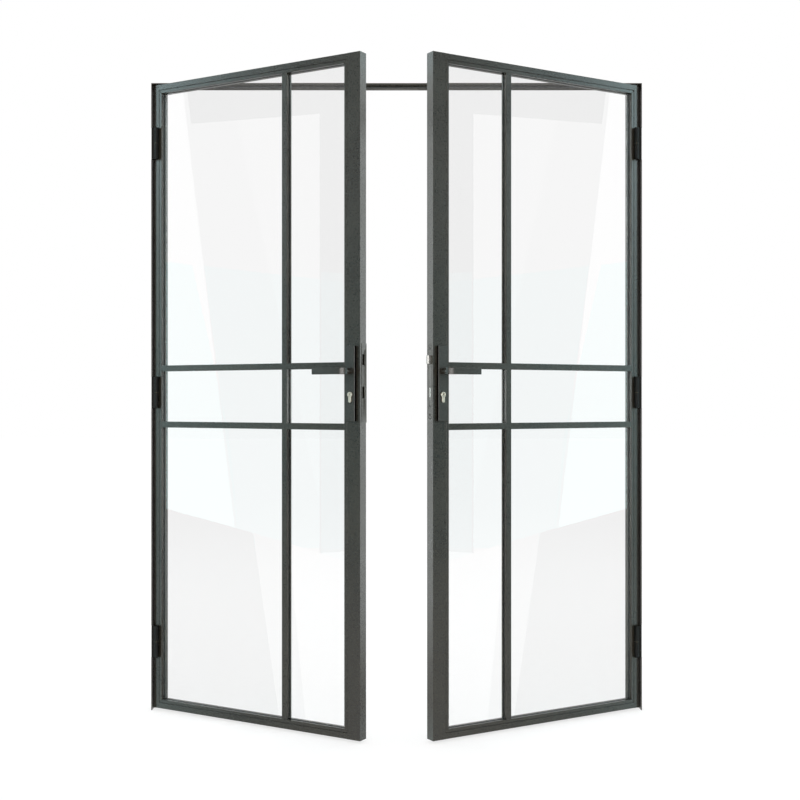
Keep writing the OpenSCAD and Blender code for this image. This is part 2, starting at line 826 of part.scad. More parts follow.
// Thin angle plate on the free edge, folded round the back corner
module strike_plate() {
    color(steel_colour) difference() {
        union() {
            block([leaf_w, strike_front, strike_z[0]],
                [leaf_w + strike_t, leaf_t + strike_t, strike_z[1]]);
            block([leaf_w - strike_lip, leaf_t, strike_z[0]],
                [leaf_w + strike_t, leaf_t + strike_t, strike_z[1]]);
        }
        for (z = [latch_z, deadbolt_z])
            block([leaf_w - 1, mid_depth - bolt_t / 2 - 2, z[0] - 3],
                [leaf_w + 2 * strike_t, mid_depth + bolt_t / 2 + 2, z[1] + 3]);
    }
}

// ---- Nodes ---------------------------------------------------------------------------

module left_handle_screws() {
    color(steel_colour) handle_screws();
}

module right_lock_screws() {
    color(steel_colour) {
        handle_screws();
        face_plate_screws();
    }
}

left_jamb();
right_jamb();
head();
frame_seals();
hinge_pins();
hinge_washers();
jamb_hinge(hinge_zs[0]);  // left_jamb_hinge_low
jamb_hinge(hinge_zs[1]);  // left_jamb_hinge_mid
jamb_hinge(hinge_zs[2]);  // left_jamb_hinge_top
mirror([1, 0, 0]) jamb_hinge(hinge_zs[0]);  // right_jamb_hinge_low
mirror([1, 0, 0]) jamb_hinge(hinge_zs[1]);  // right_jamb_hinge_mid
mirror([1, 0, 0]) jamb_hinge(hinge_zs[2]);  // right_jamb_hinge_top
left_leaf() leaf_hinge(hinge_zs[0]);  // left_leaf_hinge_low
left_leaf() leaf_hinge(hinge_zs[1]);  // left_leaf_hinge_mid
left_leaf() leaf_hinge(hinge_zs[2]);  // left_leaf_hinge_top
right_leaf() leaf_hinge(hinge_zs[0]);  // right_leaf_hinge_low
right_leaf() leaf_hinge(hinge_zs[1]);  // right_leaf_hinge_mid
right_leaf() leaf_hinge(hinge_zs[2]);  // right_leaf_hinge_top
left_leaf() hinge_stile();  // left_hinge_stile
left_leaf() passive_lock_stile();  // left_lock_stile
left_leaf() top_rail();  // left_top_rail
left_leaf() bottom_rail();  // left_bottom_rail
left_leaf() glass();  // left_glass
left_leaf() glazing_beads();  // left_glazing_beads
left_leaf() glazing_tape();  // left_glazing_tape
left_leaf() front_bars();  // left_front_bars
left_leaf() back_bars();  // left_back_bars
right_leaf() hinge_stile();  // right_hinge_stile
right_leaf() active_lock_stile();  // right_lock_stile
right_leaf() top_rail();  // right_top_rail
right_leaf() bottom_rail();  // right_bottom_rail
right_leaf() glass();  // right_glass
right_leaf() glazing_beads();  // right_glazing_beads
right_leaf() glazing_tape();  // right_glazing_tape
right_leaf() front_bars();  // right_front_bars
right_leaf() back_bars();  // right_back_bars
left_leaf() outer_plate();  // left_outer_plate
left_leaf() inner_plate();  // left_inner_plate
left_leaf() lever();  // left_outer_lever
left_leaf() inner_turn();  // left_inner_turn
left_leaf() spindle();  // left_spindle
left_leaf() key_cylinder();  // left_cylinder
left_leaf() cylinder_plugs();  // left_cylinder_plugs
left_leaf() left_handle_screws();
left_leaf() gear_case();  // left_gear_case
left_leaf() top_rod();  // left_top_rod
left_leaf() bottom_rod();  // left_bottom_rod
left_leaf() strike_plate();  // left_strike_plate
right_leaf() outer_plate();  // right_outer_plate
right_leaf() inner_plate();  // right_inner_plate
right_leaf() lever();  // right_outer_lever
right_leaf() inner_turn();  // right_inner_turn
right_leaf() spindle();  // right_spindle
right_leaf() key_cylinder();  // right_cylinder
right_leaf() cylinder_plugs();  // right_cylinder_plugs
right_leaf() right_lock_screws();
right_leaf() lock_case();  // right_lock_case
right_leaf() face_plate();  // right_face_plate
right_leaf() latch();  // right_latch
right_leaf() deadbolt();  // right_deadbolt
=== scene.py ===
# %% [markdown]
# # Glazed french doors, standing ajar
# A pair of slim steel doors with one sheet of laminated glass each, hung in a rebated steel
# frame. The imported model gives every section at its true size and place. This lesson puts the
# maker's finish on it: rounded arrises, bent lever handles, welded hinges, cross-head screws,
# and a material for each real finish. The model is loaded first, because every later step
# measures it.

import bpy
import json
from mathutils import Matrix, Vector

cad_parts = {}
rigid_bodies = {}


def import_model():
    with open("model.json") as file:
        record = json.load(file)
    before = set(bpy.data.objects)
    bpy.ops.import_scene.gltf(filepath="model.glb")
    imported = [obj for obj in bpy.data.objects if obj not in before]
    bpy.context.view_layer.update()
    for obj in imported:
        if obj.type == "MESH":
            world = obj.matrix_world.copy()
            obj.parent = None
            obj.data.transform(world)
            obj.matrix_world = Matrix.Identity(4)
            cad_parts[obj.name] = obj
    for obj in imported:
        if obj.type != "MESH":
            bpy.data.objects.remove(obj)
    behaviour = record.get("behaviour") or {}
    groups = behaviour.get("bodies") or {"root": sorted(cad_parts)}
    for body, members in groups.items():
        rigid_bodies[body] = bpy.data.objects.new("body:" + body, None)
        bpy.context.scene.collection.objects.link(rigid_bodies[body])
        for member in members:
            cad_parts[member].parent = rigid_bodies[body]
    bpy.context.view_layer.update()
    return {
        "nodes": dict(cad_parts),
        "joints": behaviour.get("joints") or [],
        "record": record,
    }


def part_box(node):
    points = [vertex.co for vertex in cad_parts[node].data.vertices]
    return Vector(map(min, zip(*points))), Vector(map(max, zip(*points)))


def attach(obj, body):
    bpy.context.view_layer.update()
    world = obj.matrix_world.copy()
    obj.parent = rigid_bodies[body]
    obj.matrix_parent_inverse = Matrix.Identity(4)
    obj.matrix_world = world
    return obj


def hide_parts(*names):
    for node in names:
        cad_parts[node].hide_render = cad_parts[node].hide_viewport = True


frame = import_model()

# %% [markdown]
# ## Where things are
# The leaves stand ajar, so nothing on them lies along an axis. A leaf is easy to work on while
# it is shut, as it is on a bench. So each piece is modelled on the left leaf shut, then carried
# to where that leaf stands. The right leaf is its mirror image. The turn is about the hinge
# pins, which the record gives.

# %% From a shut leaf to a leaf that stands ajar
import json
import math

import bmesh
import bpy
from mathutils import Matrix, Vector

MM = 0.001
SIDES = ("left", "right")
MIRROR = Matrix.Diagonal((-1, 1, 1, 1))
joints = {joint["name"]: joint for joint in frame["joints"]}


def opened(side):
    """The turn about the pins that takes a shut leaf to rest."""
    swing = joints[side + "_leaf_swing"]
    pin = Matrix.Translation(swing["pos_m"])
    turn = Matrix.Rotation(-math.radians(swing["range_deg"][0]), 4, Vector(swing["axis"]))
    return pin @ turn @ pin.inverted()


FROM_SHUT = {"left": opened("left"), "right": opened("right") @ MIRROR}
PIN = Vector(joints["left_leaf_swing"]["pos_m"])


def shut_box(node):
    """Lowest and highest corners of a leaf's node, with the leaf shut and on the left."""
    back = FROM_SHUT[node.split("_")[0]].inverted()
    spots = [back @ vertex.co for vertex in frame["nodes"][node].data.vertices]
    low = Vector([min(spot[axis] for spot in spots) for axis in range(3)])
    high = Vector([max(spot[axis] for spot in spots) for axis in range(3)])
    return low, high


stile_low, stile_high = shut_box("left_hinge_stile")
LEAF_FRONT, LEAF_BACK = stile_low.y, stile_high.y
LEAF_FOOT, LEAF_TOP = stile_low.z, stile_high.z
LEAF_EDGE = shut_box("left_lock_stile")[1].x
print("leaf thickness mm:", round((LEAF_BACK - LEAF_FRONT) / MM, 2))

# %% [markdown]
# ## Which body carries a piece, and which finish it has
# The record lists the nodes of each moving body and the finish slot of each node. Reading both
# from there means that a piece can't ride on the wrong body.

# %% Read bodies and slots from the record
behaviour = frame["record"]["behaviour"]
body_of = {node: body for body, nodes in behaviour["bodies"].items() for node in nodes}
slot_of = {part["node"]: part["material_slot"] for part in frame["record"]["subparts"]}

# %% [markdown]
# ## Small helpers for working by hand
# Blender's operators act on what is selected. These few helpers select one object, or the
# faces and edges that pass a test, so that each later step reads as one move of the hand.

# %% Helpers for selecting, placing and copying
SELECT_KINDS = {"VERT": "verts", "EDGE": "edges", "FACE": "faces"}


def only(obj):
    """Selects this object alone."""
    bpy.ops.object.select_all(action="DESELECT")
    obj.select_set(True)
    bpy.context.view_layer.objects.active = obj


def add(name, operator, stretch=(1, 1, 1), **settings):
    """Adds a primitive at its size and place, and keeps that place in its mesh."""
    bpy.ops.object.select_all(action="DESELECT")
    operator(**settings)
    obj = bpy.context.object
    obj.name = obj.data.name = name
    obj.scale = stretch
    bpy.ops.object.transform_apply(location=True, rotation=True, scale=True)
    return obj


def block(name, low, high):
    """A box between two corners."""
    low, high = Vector(low), Vector(high)
    return add(name, bpy.ops.mesh.primitive_cube_add, size=1,
               location=(low + high) / 2, stretch=high - low)


def edit(obj):
    """Opens the mesh for editing, with all of it selected."""
    only(obj)
    bpy.ops.object.mode_set(mode="EDIT")
    bpy.ops.mesh.select_all(action="SELECT")


def choose(obj, kind, test):
    """Selects the verts, edges or faces that pass a test."""
    bpy.ops.mesh.select_mode(type=kind)
    bpy.ops.mesh.select_all(action="DESELECT")
    mesh = bmesh.from_edit_mesh(obj.data)
    mesh.normal_update()
    chosen = [item for item in getattr(mesh, SELECT_KINDS[kind]) if test(item)]
    for item in chosen:
        item.select_set(True)
    mesh.select_flush_mode()
    bmesh.update_edit_mesh(obj.data)
    return len(chosen)


def close(obj, smooth=12):
    """Leaves edit mode and smooths across gentle angles only."""
    bpy.ops.object.mode_set(mode="OBJECT")
    only(obj)
    bpy.ops.object.shade_smooth_by_angle(angle=math.radians(smooth))
    return obj


def sharp(edge, angle=35):
    """True for an edge where two faces meet at a real corner."""
    return edge.is_manifold and edge.calc_face_angle(0) > math.radians(angle)


def joined(name, parts):
    """One object from several."""
    bpy.ops.object.select_all(action="DESELECT")
    for part in parts:
        part.select_set(True)
    bpy.context.view_layer.objects.active = parts[0]
    bpy.ops.object.join()
    parts[0].name = parts[0].data.name = name
    return parts[0]


def copied(source, name, matrix):
    """A copy with its own mesh, moved by a matrix. A mirrored mesh is turned right side out."""
    obj = bpy.data.objects.new(name, source.data.copy())
    bpy.context.scene.collection.objects.link(obj)
    obj.data.transform(matrix)
    if matrix.determinant() < 0:
        obj.data.flip_normals()
    return obj


# %% [markdown]
# ## A copy of a section with rounded arrises
# Steel sections are cold formed, so no edge is a knife edge: each one carries a small radius,
# thickened by the powder on it, and that radius draws the thin bright line along every frame
# member. A bevel on the whole mesh would also cut the hidden lock pockets. So only corners
# longer than a limit are chosen. The copy is merged first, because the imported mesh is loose
# triangles, and its flat faces are joined to let the bevel run straight.

# %% Round the long arrises of a node
def rounded(node, radius, shortest=8 * MM, steps=2, test=lambda edge: True):
    """A copy of a node, shut if it is on a leaf, with its long corners rounded."""
    side = node.split("_")[0]
    swings = side in SIDES and body_of[node] != "frame"
    back = FROM_SHUT[side].inverted() if swings else Matrix.Identity(4)
    obj = copied(frame["nodes"][node], node + "_shape", back)
    edit(obj)
    bpy.ops.mesh.remove_doubles(threshold=0.01 * MM)
    bpy.ops.mesh.dissolve_limited(angle_limit=math.radians(1))
    count = choose(obj, "EDGE", lambda edge: sharp(edge) and edge.calc_length() > shortest and test(edge))
    if count:
        bpy.ops.mesh.bevel(offset=radius, segments=steps, affect="EDGES")
    print(node, "corners rounded:", count)
    return close(obj)


# %% [markdown]
# ## Putting a piece to work
# A finished piece takes its material, rides on the body that its node belongs to, stands for
# that node and names its finish slot. The materials come later, so the finish is looked up
# by slot when all pieces are made.

# %% Hand a finished piece to its node
made = []


def stand_for(obj, node):
    """The piece rides, replaces and takes its slot as its node does."""
    obj.name = obj.data.name = node + "_made"
    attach(obj, body_of[node])
    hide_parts(node)
    made.append((obj, slot_of[node]))


def on_leaf(shape, side, part, node=None):
    """Copies a piece of the shut left leaf to one leaf as it stands."""
    name = node or f"{side}_{part}"
    stand_for(copied(shape, name, FROM_SHUT[side]), name)


def on_both_leaves(shape, part):
    """Copies a piece of the shut left leaf to both leaves, then drops the pattern piece."""
    for side in SIDES:
        on_leaf(shape, side, part)
    bpy.data.objects.remove(shape)


# %% [markdown]
# ## Outer frame
# Two jambs and a head of rebated steel, mitred at the corners. They could be modelled from a
# profile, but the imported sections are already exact, so copies of them get their radii. The
# rubber seal in the rebate is a soft strip with a round front, which a larger radius gives.

# %% Jambs, head and seal
for name in ("left_jamb", "right_jamb", "head"):
    stand_for(rounded(name, 0.6 * MM, shortest=60 * MM), name)

stand_for(rounded("frame_seals", 1.1 * MM, shortest=60 * MM, steps=3), "frame_seals")

# %% [markdown]
# ## Stiles and rails of a leaf
# Each leaf is welded from four hollow sections, and the joints are ground flush before
# coating, so only the lengthwise arrises are rounded and no seam shows between a stile and a
# rail. The lock stiles differ: one carries the lock, the other the bolt rods.

# %% Stiles and rails
for part in ("hinge_stile", "top_rail", "bottom_rail"):
    on_both_leaves(rounded("left_" + part, 0.8 * MM, shortest=300 * MM), part)

for side in SIDES:
    shape = rounded(side + "_lock_stile", 0.8 * MM, shortest=300 * MM)
    on_leaf(shape, side, "lock_stile")
    bpy.data.objects.remove(shape)

# %% [markdown]
# ## Glazing bars and beads
# The bars are flat strips in front of and behind the glass. The beads are snapped into the
# leaf all round and mitred, so their ends show as hairlines. Their mitres get the same small
# radius as their edges.

# %% Bars and beads
for part in ("front_bars", "back_bars"):
    on_both_leaves(rounded("left_" + part, 0.7 * MM, shortest=15 * MM), part)

on_both_leaves(rounded("left_glazing_beads", 0.6 * MM, shortest=8 * MM), "glazing_beads")

# %% [markdown]
# ## Glass
# A single laminated sheet, cut and with its arrises ground. A box is the true shape of a
# sheet, so a block gets a fine chamfer all round, as the grinder leaves it.

# %% Sheet of glass with ground arrises
GROUND = 0.6 * MM     # width that the grinder takes off each arris

pane = block("pane", *shut_box("left_glass"))
edit(pane)
bpy.ops.mesh.bevel(offset=GROUND, segments=1, affect="EDGES")
close(pane)
on_both_leaves(pane, "glass")

# %% [markdown]
# ## Weld bead
# A hinge is fixed by a run of weld, a row of small overlapping scales. A thin cylinder is cut
# into rings and every other ring is drawn in, which gives that rippled line for few faces.

# %% A rippled run of weld
DRAWN_IN = 0.72       # radius of the valleys, as a share of the crests


def weld_bead(name, spot, low, high, radius=1.1 * MM, pitch=1.4 * MM):
    """An upright weld at a spot, from one height to another."""
    count = 2 * int((high - low) / pitch)
    bead = add(name, bpy.ops.mesh.primitive_cylinder_add, vertices=10, radius=radius,
               depth=high - low, location=(spot[0], spot[1], (low + high) / 2))
    edit(bead)
    for ring in range(1, count):
        height = low + (high - low) * ring / count
        bpy.ops.mesh.select_all(action="SELECT")
        bpy.ops.mesh.bisect(plane_co=(0, 0, height), plane_no=(0, 0, 1))
    step = (high - low) / count
    choose(bead, "VERT", lambda vert: round((vert.co.z - low) / step) % 2 == 0)
    bpy.ops.transform.resize(value=(DRAWN_IN, DRAWN_IN, 1), center_override=(spot[0], spot[1], low))
    return close(bead, smooth=50)


# %% [markdown]
# ## Hinge half on the leaf
# The upper knuckle is turned from bar, its ends chamfered and its cap pressed in, and it is
# welded to the stile by a short foot. The knuckle starts as a cylinder: its rims are bevelled,
# and the top is inset and sunk for the cap. The foot is a block, and a weld runs down each
# side of it.

# %% Upper knuckle, foot and welds
foot_low, foot_high = shut_box("left_leaf_hinge_low")
BARREL_R = PIN.y - foot_low.y
FOOT_W = 8 * MM
RIM = 0.7 * MM        # rounding of the turned ends
CAP_WALL = 1.6 * MM   # metal round the pressed-in cap
CAP_SUNK = 0.5 * MM


def knuckle(name, low, high, cap_up):
    """A turned hinge knuckle about the pin, with a pressed-in cap at one end."""
    obj = add(name, bpy.ops.mesh.primitive_cylinder_add, vertices=64, radius=BARREL_R,
              depth=high - low, location=(PIN.x, PIN.y, (low + high) / 2))
    end = high if cap_up else low
    edit(obj)
    choose(obj, "EDGE", lambda edge: sharp(edge, 60))
    bpy.ops.mesh.bevel(offset=RIM, segments=3, affect="EDGES")
    choose(obj, "FACE", lambda face: abs(face.normal.z) > 0.99
           and abs(face.calc_center_median().z - end) < 0.1 * MM)
    bpy.ops.mesh.inset(thickness=CAP_WALL)
    bpy.ops.mesh.inset(thickness=0.25 * MM)
    bpy.ops.transform.translate(value=(0, 0, -CAP_SUNK if cap_up else CAP_SUNK))
    return close(obj)


upper = knuckle("upper_knuckle", foot_low.z, foot_high.z, cap_up=True)
foot = block("foot", (PIN.x - FOOT_W / 2, PIN.y, foot_low.z + 1 * MM),
             (PIN.x + FOOT_W / 2, LEAF_FRONT, foot_high.z - 1 * MM))
edit(foot)
choose(foot, "EDGE", lambda edge: abs(edge.verts[0].co.z - edge.verts[1].co.z) > MM)
bpy.ops.mesh.bevel(offset=0.4 * MM, segments=2, affect="EDGES")
close(foot)
welds = [weld_bead("weld", (PIN.x + turn * FOOT_W / 2, LEAF_FRONT - 0.3 * MM),
                   foot_low.z + 2 * MM, foot_high.z - 2 * MM) for turn in (-1, 1)]
leaf_half = joined("leaf_half", [upper, foot] + welds)
print("leaf half faces:", len(leaf_half.data.polygons))

# %% [markdown]
# ## Hinge half on the jamb
# The lower knuckle hangs on an angle plate let into the flange. The plate is one strip: a
# block is cut across, and the front part is drawn sideways into the flap, then its lower half
# is drawn on to the pin. Extruding keeps it one piece, as a pressed plate is.

# %% Lower knuckle and angle plate
jamb_low, jamb_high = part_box("left_jamb_hinge_low")
PLATE_T = 3 * MM
FLAP_W = 11 * MM
FLAP_RELIEF = 0.5 * MM       # how far the flap stays short of the barrel's back
WASHER_T = 1 * MM
flap_back = foot_low.y + 2 * BARREL_R - FLAP_RELIEF
plate_front = flap_back - PLATE_T
pin_half_z = foot_low.z - WASHER_T

plate = block("plate", (jamb_low.x, plate_front, jamb_low.z),
              (jamb_low.x + PLATE_T, jamb_high.y, jamb_high.z))
edit(plate)
bpy.ops.mesh.bisect(plane_co=(0, flap_back, 0), plane_no=(0, 1, 0))
choose(plate, "FACE", lambda face: face.normal.x > 0.9 and face.calc_center_median().y < flap_back)
bpy.ops.mesh.extrude_region_move(TRANSFORM_OT_translate={"value": (FLAP_W - PLATE_T, 0, 0)})
bpy.ops.mesh.select_all(action="SELECT")
bpy.ops.mesh.bisect(plane_co=(0, 0, pin_half_z), plane_no=(0, 0, 1))
choose(plate, "FACE", lambda face: face.normal.x > 0.9 and face.calc_center_median().z < pin_half_z
       and face.calc_center_median().x > jamb_low.x + FLAP_W - MM)
bpy.ops.mesh.extrude_region_move(TRANSFORM_OT_translate={"value": (PIN.x - jamb_low.x - FLAP_W, 0, 0)})
choose(plate, "EDGE", lambda edge: sharp(edge) and edge.calc_length() > 6 * MM
       and min(vert.co.y for vert in edge.verts) < flap_back + MM)
bpy.ops.mesh.bevel(offset=0.5 * MM, segments=2, affect="EDGES")
close(plate)
lower = knuckle("lower_knuckle", jamb_low.z, pin_half_z, cap_up=False)
web_weld = weld_bead("weld", (PIN.x - BARREL_R + 0.2 * MM, plate_front - 0.1 * MM),
                     jamb_low.z + 2 * MM, pin_half_z - 2 * MM, radius=0.9 * MM)
jamb_half = joined("jamb_half", [plate, lower, web_weld])
print("jamb half faces:", len(jamb_half.data.polygons))

# %% [markdown]
# ## Three hinges a side
# One pair of halves is the pattern for all six hinges. Each copy is lifted to its height, and
# the right-hand ones are mirrored.

# %% Copy the hinge halves
for side in SIDES:
    for level in ("low", "mid", "top"):
        name = f"{side}_leaf_hinge_{level}"
        lift = Matrix.Translation((0, 0, shut_box(name)[0].z - foot_low.z))
        stand_for(copied(leaf_half, name, FROM_SHUT[side] @ lift), name)
        name = f"{side}_jamb_hinge_{level}"
        lift = Matrix.Translation((0, 0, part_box(name)[0].z - jamb_low.z))
        hand = Matrix.Identity(4) if side == "left" else MIRROR
        stand_for(copied(jamb_half, name, hand @ lift), name)

for pattern in (leaf_half, jamb_half):
    bpy.data.objects.remove(pattern)

# %% [markdown]
# ## Lever handle
# A flat bar bent round into its neck, all in one. In plan it is a strip that ends in a
# quarter round at the spindle. The bend starts as a square plane whose outer corner is
# rounded as a vertex bevel, while its sides are still long enough for it. Then the strip is
# extruded from the side of the square. Extruding the plan upwards makes the bar, a small bevel
# takes off its edges, and the round neck goes in last.

# %% Bend the lever
lever_low, lever_high = shut_box("left_outer_lever")
plate_low, plate_high = shut_box("left_outer_plate")
spindle_x = (plate_low.x + plate_high.x) / 2
spindle_z = (lever_low.z + lever_high.z) / 2
LEVER_H = lever_high.z - lever_low.z
LEVER_T = 12 * MM
NECK_R = 9 * MM
bend_x = spindle_x - LEVER_H / 2
bend_y = lever_low.y + LEVER_H

lever = add("lever", bpy.ops.mesh.primitive_plane_add, size=LEVER_H,
            location=(spindle_x, lever_low.y + LEVER_H / 2, lever_low.z))
edit(lever)
choose(lever, "VERT", lambda vert: vert.co.x > spindle_x and vert.co.y < lever_low.y + MM)
bpy.ops.mesh.bevel(offset=LEVER_H, segments=14, affect="VERTICES", clamp_overlap=False)
bpy.ops.mesh.select_all(action="SELECT")
bpy.ops.mesh.remove_doubles(threshold=0.01 * MM)
bpy.ops.mesh.bisect(plane_co=(0, lever_low.y + LEVER_T, 0), plane_no=(0, 1, 0))
choose(lever, "EDGE", lambda edge: max(vert.co.x for vert in edge.verts) < bend_x + 0.1 * MM
       and max(vert.co.y for vert in edge.verts) < lever_low.y + LEVER_T + 0.1 * MM)
bpy.ops.mesh.extrude_region_move(TRANSFORM_OT_translate={"value": (lever_low.x - bend_x, 0, 0)})
bpy.ops.mesh.select_all(action="SELECT")
bpy.ops.mesh.dissolve_limited(angle_limit=math.radians(0.5))
bpy.ops.mesh.select_all(action="SELECT")
bpy.ops.mesh.extrude_region_move(TRANSFORM_OT_translate={"value": (0, 0, LEVER_H)})
bpy.ops.mesh.select_all(action="SELECT")
bpy.ops.mesh.normals_make_consistent(inside=False)
choose(lever, "EDGE", lambda edge: sharp(edge))
bpy.ops.mesh.bevel(offset=0.9 * MM, segments=3, affect="EDGES")
close(lever)
neck_back = plate_low.y + 2 * MM
neck = add("neck", bpy.ops.mesh.primitive_cylinder_add, vertices=64, radius=NECK_R,
           depth=neck_back - bend_y + 2 * MM, rotation=(math.pi / 2, 0, 0),
           location=(spindle_x, (neck_back + bend_y) / 2 - MM, spindle_z))
close(neck)
lever = joined("lever", [lever, neck])
print("lever reach mm:", round((lever_high.x - lever_low.x) / MM, 1), "faces:", len(lever.data.polygons))

# %% [markdown]
# ## Thumb turn inside
# There is no lever inside, only a low turn that a thumb and finger can grip: a coin-like grip
# standing upright on a round neck. The grip starts as a block. Its two outer corners get a
# wide radius and all its edges a fine one. The neck is a cylinder with a softened rim.

# %% Model the turn and copy both handles
turn_low, turn_high = shut_box("left_inner_turn")
GRIP_T = 6 * MM
GRIP_CORNER = 6 * MM
neck_end = LEAF_BACK + (LEAF_FRONT - plate_low.y) + 3 * MM

grip = block("grip", (spindle_x - GRIP_T / 2, neck_end - MM, turn_low.z),
             (spindle_x + GRIP_T / 2, turn_high.y, turn_high.z))
edit(grip)
choose(grip, "EDGE", lambda edge: min(vert.co.y for vert in edge.verts) > turn_high.y - 0.1 * MM
       and edge.calc_length() < GRIP_T + 0.1 * MM)
bpy.ops.mesh.bevel(offset=GRIP_CORNER, segments=6, affect="EDGES")
choose(grip, "EDGE", lambda edge: sharp(edge))
bpy.ops.mesh.bevel(offset=0.7 * MM, segments=2, affect="EDGES")
close(grip)

collar = add("collar", bpy.ops.mesh.primitive_cylinder_add, vertices=64, radius=NECK_R,
             depth=neck_end - turn_low.y, rotation=(math.pi / 2, 0, 0),
             location=(spindle_x, (neck_end + turn_low.y) / 2, spindle_z))
edit(collar)
choose(collar, "EDGE", lambda edge: sharp(edge, 60))
bpy.ops.mesh.bevel(offset=0.6 * MM, segments=2, affect="EDGES")
close(collar)
inner_turn = joined("inner_turn", [grip, collar])
print("turn height mm:", round((turn_high.z - turn_low.z) / MM, 1))

on_both_leaves(lever, "outer_lever")
on_both_leaves(inner_turn, "inner_turn")

# %% [markdown]
# ## Cover plates
# Long plates of pressed steel over the lock, with a radius all round the front. The packed
# plate has the true openings, so its copy gets a wide radius on the outline and a fine one
# round the openings.

# %% Cover plates
for part in ("outer_plate", "inner_plate"):
    low, high = shut_box("left_" + part)
    face_y = low.y if part == "outer_plate" else high.y
    shape = rounded("left_" + part, 1.3 * MM, shortest=20 * MM, steps=3,
                    test=lambda edge: max(abs(vert.co.y - face_y) for vert in edge.verts) < 12 * MM)
    edit(shape)
    rims = choose(shape, "EDGE", lambda edge: sharp(edge) and edge.calc_length() < 4 * MM
                  and max(abs(vert.co.y - face_y) for vert in edge.verts) < 0.05 * MM)
    bpy.ops.mesh.bevel(offset=0.3 * MM, segments=1, affect="EDGES")
    print(part, "rim edges:", rims)
    close(shape)
    on_both_leaves(shape, part)

# %% [markdown]
# ## Key cylinder and plugs
# A profile cylinder of satin nickel: a round head on a narrow foot, with a turning plug and
# its keyway in the head. Both ends stand a little proud of the cover plates. The rims of the
# body, the plug and the keyway are what catches the light, so those edges are chosen by their
# depth and chamfered.

# %% Chamfer the ends of the cylinder and its plugs
for part, chamfer in (("cylinder", 0.5 * MM), ("cylinder_plugs", 0.35 * MM)):
    low, high = shut_box("left_" + part)
    shape = rounded("left_" + part, chamfer, shortest=0, steps=2, test=lambda edge: max(
        min(abs(vert.co.y - low.y), abs(vert.co.y - high.y)) for vert in edge.verts) < 0.05 * MM)
    on_both_leaves(shape, part)

# %% [markdown]
# ## Latch, deadbolt and the plates on the free edges
# The face plate is a round-ended strip, coated like the leaf and let into the edge of the lock
# stile, and the strike plate is a thin angle on the other leaf. Bolts and plates get a fine
# radius on every corner that a finger could reach.

# %% Lock plates and bolts
for name, radius in (("right_latch", 0.6), ("right_deadbolt", 0.7), ("left_strike_plate", 0.3)):
    shape = rounded(name, radius * MM, shortest=3 * MM)
    on_leaf(shape, name.split("_")[0], "", name)
    bpy.data.objects.remove(shape)

shape = rounded("right_face_plate", 0.35 * MM, shortest=0,
                test=lambda edge: min(vert.co.x for vert in edge.verts) > LEAF_EDGE - 0.05 * MM)
on_leaf(shape, "right", "face_plate")
bpy.data.objects.remove(shape)

# %% [markdown]
# ## Cross-head screw
# One countersunk screw is the pattern for all. It starts as a cone for the head, its small
# end is extruded into the shank, and the cross is made by cutting the flat top along four
# lines and pushing the cross-shaped faces down.

# %% Model one screw, head up
HEAD_R = 3.7 * MM
HEAD_D = 2.2 * MM
SHANK_R = 1.9 * MM
HEAD_LAND = 0.25 * MM     # flat rim round the top of the head
SLOT_W = 0.9 * MM
SLOT_REACH = 2.3 * MM
SLOT_D = 1.1 * MM
SLOT_TAPER = 0.75         # size of the slot's bottom, as a share of its mouth


def screw_pattern(length):
    """A countersunk screw whose head lies flush with z = 0 and whose shank points down."""
    screw = add("screw", bpy.ops.mesh.primitive_cone_add, vertices=40, radius1=SHANK_R,
                radius2=HEAD_R, depth=HEAD_D, location=(0, 0, -HEAD_D / 2))
    edit(screw)
    choose(screw, "FACE", lambda face: face.normal.z < -0.99)
    bpy.ops.mesh.extrude_region_move(TRANSFORM_OT_translate={"value": (0, 0, HEAD_D - length)})
    choose(screw, "FACE", lambda face: face.normal.z > 0.99)
    bpy.ops.mesh.inset(thickness=HEAD_LAND)
    for normal in ((1, 0, 0), (0, 1, 0)):
        for offset in (-SLOT_REACH, -SLOT_W / 2, SLOT_W / 2, SLOT_REACH):
            choose(screw, "FACE", lambda face: face.normal.z > 0.99)
            spot = Vector(normal) * offset
            bpy.ops.mesh.bisect(plane_co=spot, plane_no=normal)
    choose(screw, "FACE", lambda face: face.normal.z > 0.99
           and min(abs(axis) for axis in face.calc_center_median()[:2]) < SLOT_W / 2 - 0.1 * MM
           and max(abs(axis) for axis in face.calc_center_median()[:2]) < SLOT_REACH - 0.1 * MM)
    bpy.ops.mesh.extrude_region_move(TRANSFORM_OT_translate={"value": (0, 0, -SLOT_D)})
    bpy.ops.transform.resize(value=(SLOT_TAPER, SLOT_TAPER, 1), center_override=(0, 0, 0))
    return close(screw)


def screw_at(pattern, spot, direction):
    """A copy of the screw with its head at a spot, facing a direction."""
    turn = Vector((0, 0, 1)).rotation_difference(Vector(direction)).to_matrix().to_4x4()
    return copied(pattern, "screw_copy", Matrix.Translation(spot) @ turn)


# %% [markdown]
# ## Screws in their places
# Two screws go through each inner cover plate, and three hold the face plate of the lock.
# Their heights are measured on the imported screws: each solid of that node is one screw.

# %% Find each packed screw and put a modelled one there
def screw_spots(node):
    """Lowest and highest corners of each separate solid of a node, in the shut left leaf."""
    shape = rounded(node, 0, test=lambda edge: False)
    edit(shape)
    bpy.ops.mesh.separate(type="LOOSE")
    bpy.ops.object.mode_set(mode="OBJECT")
    spots = []
    for part in list(bpy.context.selected_objects):
        corners = [Vector(corner) for corner in part.bound_box]
        low = Vector([min(corner[axis] for corner in corners) for axis in range(3)])
        high = Vector([max(corner[axis] for corner in corners) for axis in range(3)])
        spots.append((low, high))
        bpy.data.objects.remove(part)
    return spots


